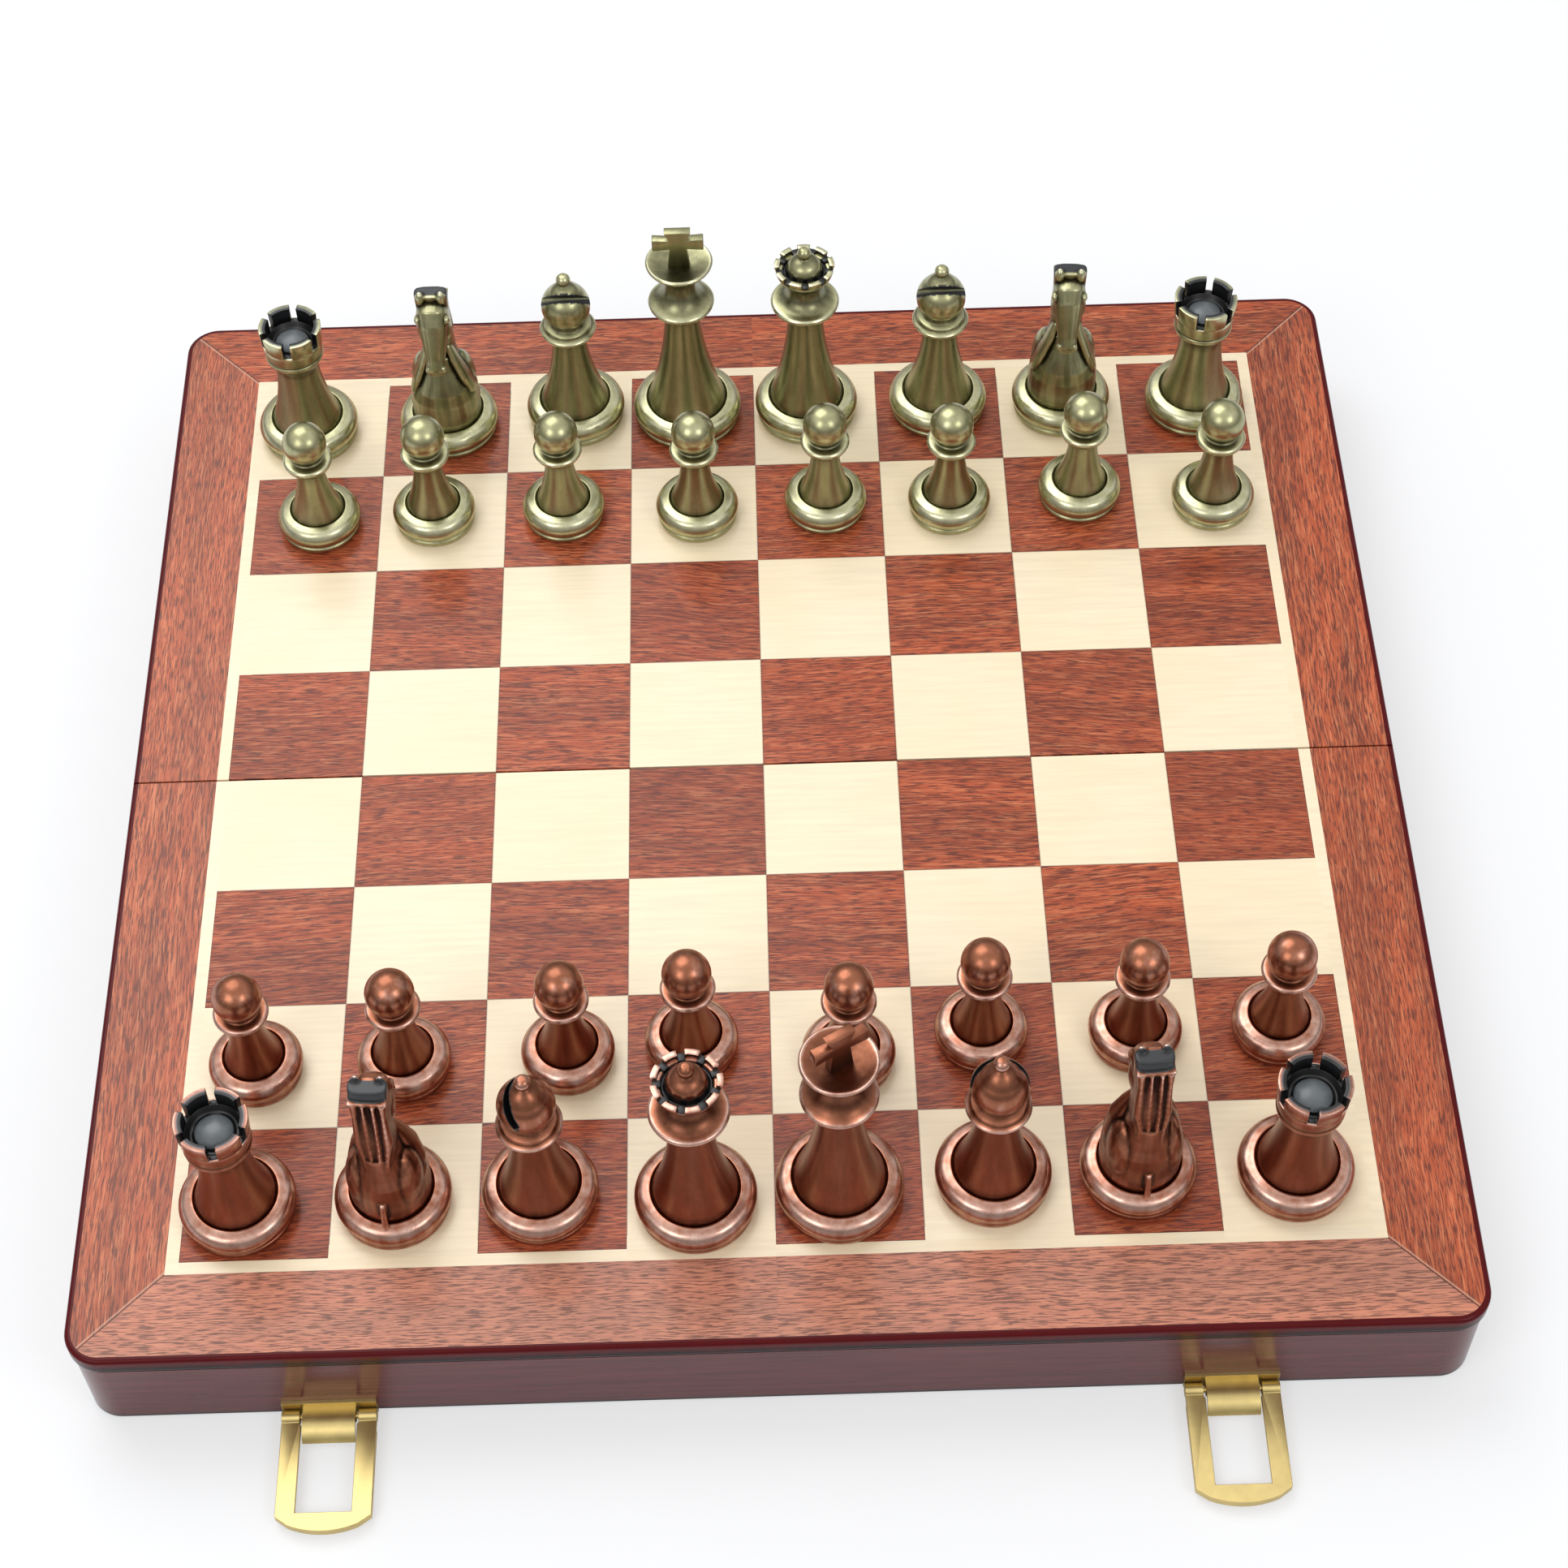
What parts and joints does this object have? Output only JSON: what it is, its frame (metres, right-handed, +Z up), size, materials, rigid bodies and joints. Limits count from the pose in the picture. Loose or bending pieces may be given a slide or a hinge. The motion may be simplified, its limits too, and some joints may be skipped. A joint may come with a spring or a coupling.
{
  "type": "folding chess set",
  "caption": "Folding wooden chess board that closes into a latched case, with cast metal men of two colours standing on it in their first places.",
  "frame": {"origin": "on the plane of the case's rims, at the middle of the fold line", "axes": "+Z up out of the playing surface, +Y from the player of the copper men to the player of the bronze men, +X to the copper player's right"},
  "size_m": [0.3, 0.3307, 0.0928],
  "materials": {
    "lacquered_edge": "gloss lacquer",
    "wall_veneer": "gloss lacquer",
    "rosewood": "satin lacquer",
    "maple": "satin lacquer",
    "foam": "matte",
    "gilt_brass": "polished",
    "antique_copper": "antiqued",
    "antique_bronze": "antiqued"
  },
  "bodies": {
    "front_half": {"front_panel": "lacquered_edge", "front_outer_wall": "wall_veneer", "front_side_walls": "wall_veneer", "front_seam_wall": "wall_veneer", "front_border_veneer": "rosewood", "front_maple_line": "maple", "front_dark_squares": "rosewood", "front_light_squares": "maple", "front_foam_liner": "foam", "front_hinge_leaves": "gilt_brass", "hinge_pins": "gilt_brass", "latch_bases": "gilt_brass", "latch_pins": "gilt_brass", "front_screws": "gilt_brass"},
    "back_half": {"back_panel": "lacquered_edge", "back_outer_wall": "wall_veneer", "back_side_walls": "wall_veneer", "back_seam_wall": "wall_veneer", "back_border_veneer": "rosewood", "back_maple_line": "maple", "back_dark_squares": "rosewood", "back_light_squares": "maple", "back_foam_liner": "foam", "back_hinge_leaves": "gilt_brass", "latch_catches": "gilt_brass", "back_screws": "gilt_brass"},
    "left_latch_loop": {"left_latch_loop": "gilt_brass"},
    "right_latch_loop": {"right_latch_loop": "gilt_brass"},
    "copper_rook_left": {"copper_rook_left": "antique_copper"},
    "copper_knight_left": {"copper_knight_left": "antique_copper"},
    "copper_bishop_left": {"copper_bishop_left": "antique_copper"},
    "copper_queen": {"copper_queen": "antique_copper"},
    "copper_king": {"copper_king": "antique_copper"},
    "copper_bishop_right": {"copper_bishop_right": "antique_copper"},
    "copper_knight_right": {"copper_knight_right": "antique_copper"},
    "copper_rook_right": {"copper_rook_right": "antique_copper"},
    "copper_pawn_1": {"copper_pawn_1": "antique_copper"},
    "copper_pawn_2": {"copper_pawn_2": "antique_copper"},
    "copper_pawn_3": {"copper_pawn_3": "antique_copper"},
    "copper_pawn_4": {"copper_pawn_4": "antique_copper"},
    "copper_pawn_5": {"copper_pawn_5": "antique_copper"},
    "copper_pawn_6": {"copper_pawn_6": "antique_copper"},
    "copper_pawn_7": {"copper_pawn_7": "antique_copper"},
    "copper_pawn_8": {"copper_pawn_8": "antique_copper"},
    "bronze_rook_left": {"bronze_rook_left": "antique_bronze"},
    "bronze_knight_left": {"bronze_knight_left": "antique_bronze"},
    "bronze_bishop_left": {"bronze_bishop_left": "antique_bronze"},
    "bronze_queen": {"bronze_queen": "antique_bronze"},
    "bronze_king": {"bronze_king": "antique_bronze"},
    "bronze_bishop_right": {"bronze_bishop_right": "antique_bronze"},
    "bronze_knight_right": {"bronze_knight_right": "antique_bronze"},
    "bronze_rook_right": {"bronze_rook_right": "antique_bronze"},
    "bronze_pawn_1": {"bronze_pawn_1": "antique_bronze"},
    "bronze_pawn_2": {"bronze_pawn_2": "antique_bronze"},
    "bronze_pawn_3": {"bronze_pawn_3": "antique_bronze"},
    "bronze_pawn_4": {"bronze_pawn_4": "antique_bronze"},
    "bronze_pawn_5": {"bronze_pawn_5": "antique_bronze"},
    "bronze_pawn_6": {"bronze_pawn_6": "antique_bronze"},
    "bronze_pawn_7": {"bronze_pawn_7": "antique_bronze"},
    "bronze_pawn_8": {"bronze_pawn_8": "antique_bronze"}
  },
  "joints": [
    {"name": "fold", "type": "hinge", "parent": "front_half", "child": "back_half", "pos_m": [0, 0, -0.0001], "axis": [-1, 0, 0], "range_deg": [0, 180]},
    {"name": "left_latch_swing", "type": "hinge", "parent": "front_half", "child": "left_latch_loop", "pos_m": [-0.097, -0.1518, 0.0019], "axis": [1, 0, 0], "range_deg": [-90, 90]},
    {"name": "right_latch_swing", "type": "hinge", "parent": "front_half", "child": "right_latch_loop", "pos_m": [0.097, -0.1518, 0.0019], "axis": [1, 0, 0], "range_deg": [-90, 90]},
    {"name": "copper_rook_left_lift", "type": "slide", "parent": "front_half", "child": "copper_rook_left", "axis": [0, 0, 1], "range_m": [0, 0.07]},
    {"name": "copper_knight_left_lift", "type": "slide", "parent": "front_half", "child": "copper_knight_left", "axis": [0, 0, 1], "range_m": [0, 0.07]},
    {"name": "copper_bishop_left_lift", "type": "slide", "parent": "front_half", "child": "copper_bishop_left", "axis": [0, 0, 1], "range_m": [0, 0.07]},
    {"name": "copper_queen_lift", "type": "slide", "parent": "front_half", "child": "copper_queen", "axis": [0, 0, 1], "range_m": [0, 0.07]},
    {"name": "copper_king_lift", "type": "slide", "parent": "front_half", "child": "copper_king", "axis": [0, 0, 1], "range_m": [0, 0.07]},
    {"name": "copper_bishop_right_lift", "type": "slide", "parent": "front_half", "child": "copper_bishop_right", "axis": [0, 0, 1], "range_m": [0, 0.07]},
    {"name": "copper_knight_right_lift", "type": "slide", "parent": "front_half", "child": "copper_knight_right", "axis": [0, 0, 1], "range_m": [0, 0.07]},
    {"name": "copper_rook_right_lift", "type": "slide", "parent": "front_half", "child": "copper_rook_right", "axis": [0, 0, 1], "range_m": [0, 0.07]},
    {"name": "copper_pawn_1_lift", "type": "slide", "parent": "front_half", "child": "copper_pawn_1", "axis": [0, 0, 1], "range_m": [0, 0.07]},
    {"name": "copper_pawn_2_lift", "type": "slide", "parent": "front_half", "child": "copper_pawn_2", "axis": [0, 0, 1], "range_m": [0, 0.07]},
    {"name": "copper_pawn_3_lift", "type": "slide", "parent": "front_half", "child": "copper_pawn_3", "axis": [0, 0, 1], "range_m": [0, 0.07]},
    {"name": "copper_pawn_4_lift", "type": "slide", "parent": "front_half", "child": "copper_pawn_4", "axis": [0, 0, 1], "range_m": [0, 0.07]},
    {"name": "copper_pawn_5_lift", "type": "slide", "parent": "front_half", "child": "copper_pawn_5", "axis": [0, 0, 1], "range_m": [0, 0.07]},
    {"name": "copper_pawn_6_lift", "type": "slide", "parent": "front_half", "child": "copper_pawn_6", "axis": [0, 0, 1], "range_m": [0, 0.07]},
    {"name": "copper_pawn_7_lift", "type": "slide", "parent": "front_half", "child": "copper_pawn_7", "axis": [0, 0, 1], "range_m": [0, 0.07]},
    {"name": "copper_pawn_8_lift", "type": "slide", "parent": "front_half", "child": "copper_pawn_8", "axis": [0, 0, 1], "range_m": [0, 0.07]},
    {"name": "bronze_rook_left_lift", "type": "slide", "parent": "back_half", "child": "bronze_rook_left", "axis": [0, 0, 1], "range_m": [0, 0.07]},
    {"name": "bronze_knight_left_lift", "type": "slide", "parent": "back_half", "child": "bronze_knight_left", "axis": [0, 0, 1], "range_m": [0, 0.07]},
    {"name": "bronze_bishop_left_lift", "type": "slide", "parent": "back_half", "child": "bronze_bishop_left", "axis": [0, 0, 1], "range_m": [0, 0.07]},
    {"name": "bronze_queen_lift", "type": "slide", "parent": "back_half", "child": "bronze_queen", "axis": [0, 0, 1], "range_m": [0, 0.07]},
    {"name": "bronze_king_lift", "type": "slide", "parent": "back_half", "child": "bronze_king", "axis": [0, 0, 1], "range_m": [0, 0.07]},
    {"name": "bronze_bishop_right_lift", "type": "slide", "parent": "back_half", "child": "bronze_bishop_right", "axis": [0, 0, 1], "range_m": [0, 0.07]},
    {"name": "bronze_knight_right_lift", "type": "slide", "parent": "back_half", "child": "bronze_knight_right", "axis": [0, 0, 1], "range_m": [0, 0.07]},
    {"name": "bronze_rook_right_lift", "type": "slide", "parent": "back_half", "child": "bronze_rook_right", "axis": [0, 0, 1], "range_m": [0, 0.07]},
    {"name": "bronze_pawn_1_lift", "type": "slide", "parent": "back_half", "child": "bronze_pawn_1", "axis": [0, 0, 1], "range_m": [0, 0.07]},
    {"name": "bronze_pawn_2_lift", "type": "slide", "parent": "back_half", "child": "bronze_pawn_2", "axis": [0, 0, 1], "range_m": [0, 0.07]},
    {"name": "bronze_pawn_3_lift", "type": "slide", "parent": "back_half", "child": "bronze_pawn_3", "axis": [0, 0, 1], "range_m": [0, 0.07]},
    {"name": "bronze_pawn_4_lift", "type": "slide", "parent": "back_half", "child": "bronze_pawn_4", "axis": [0, 0, 1], "range_m": [0, 0.07]},
    {"name": "bronze_pawn_5_lift", "type": "slide", "parent": "back_half", "child": "bronze_pawn_5", "axis": [0, 0, 1], "range_m": [0, 0.07]},
    {"name": "bronze_pawn_6_lift", "type": "slide", "parent": "back_half", "child": "bronze_pawn_6", "axis": [0, 0, 1], "range_m": [0, 0.07]},
    {"name": "bronze_pawn_7_lift", "type": "slide", "parent": "back_half", "child": "bronze_pawn_7", "axis": [0, 0, 1], "range_m": [0, 0.07]},
    {"name": "bronze_pawn_8_lift", "type": "slide", "parent": "back_half", "child": "bronze_pawn_8", "axis": [0, 0, 1], "range_m": [0, 0.07]}
  ]
}
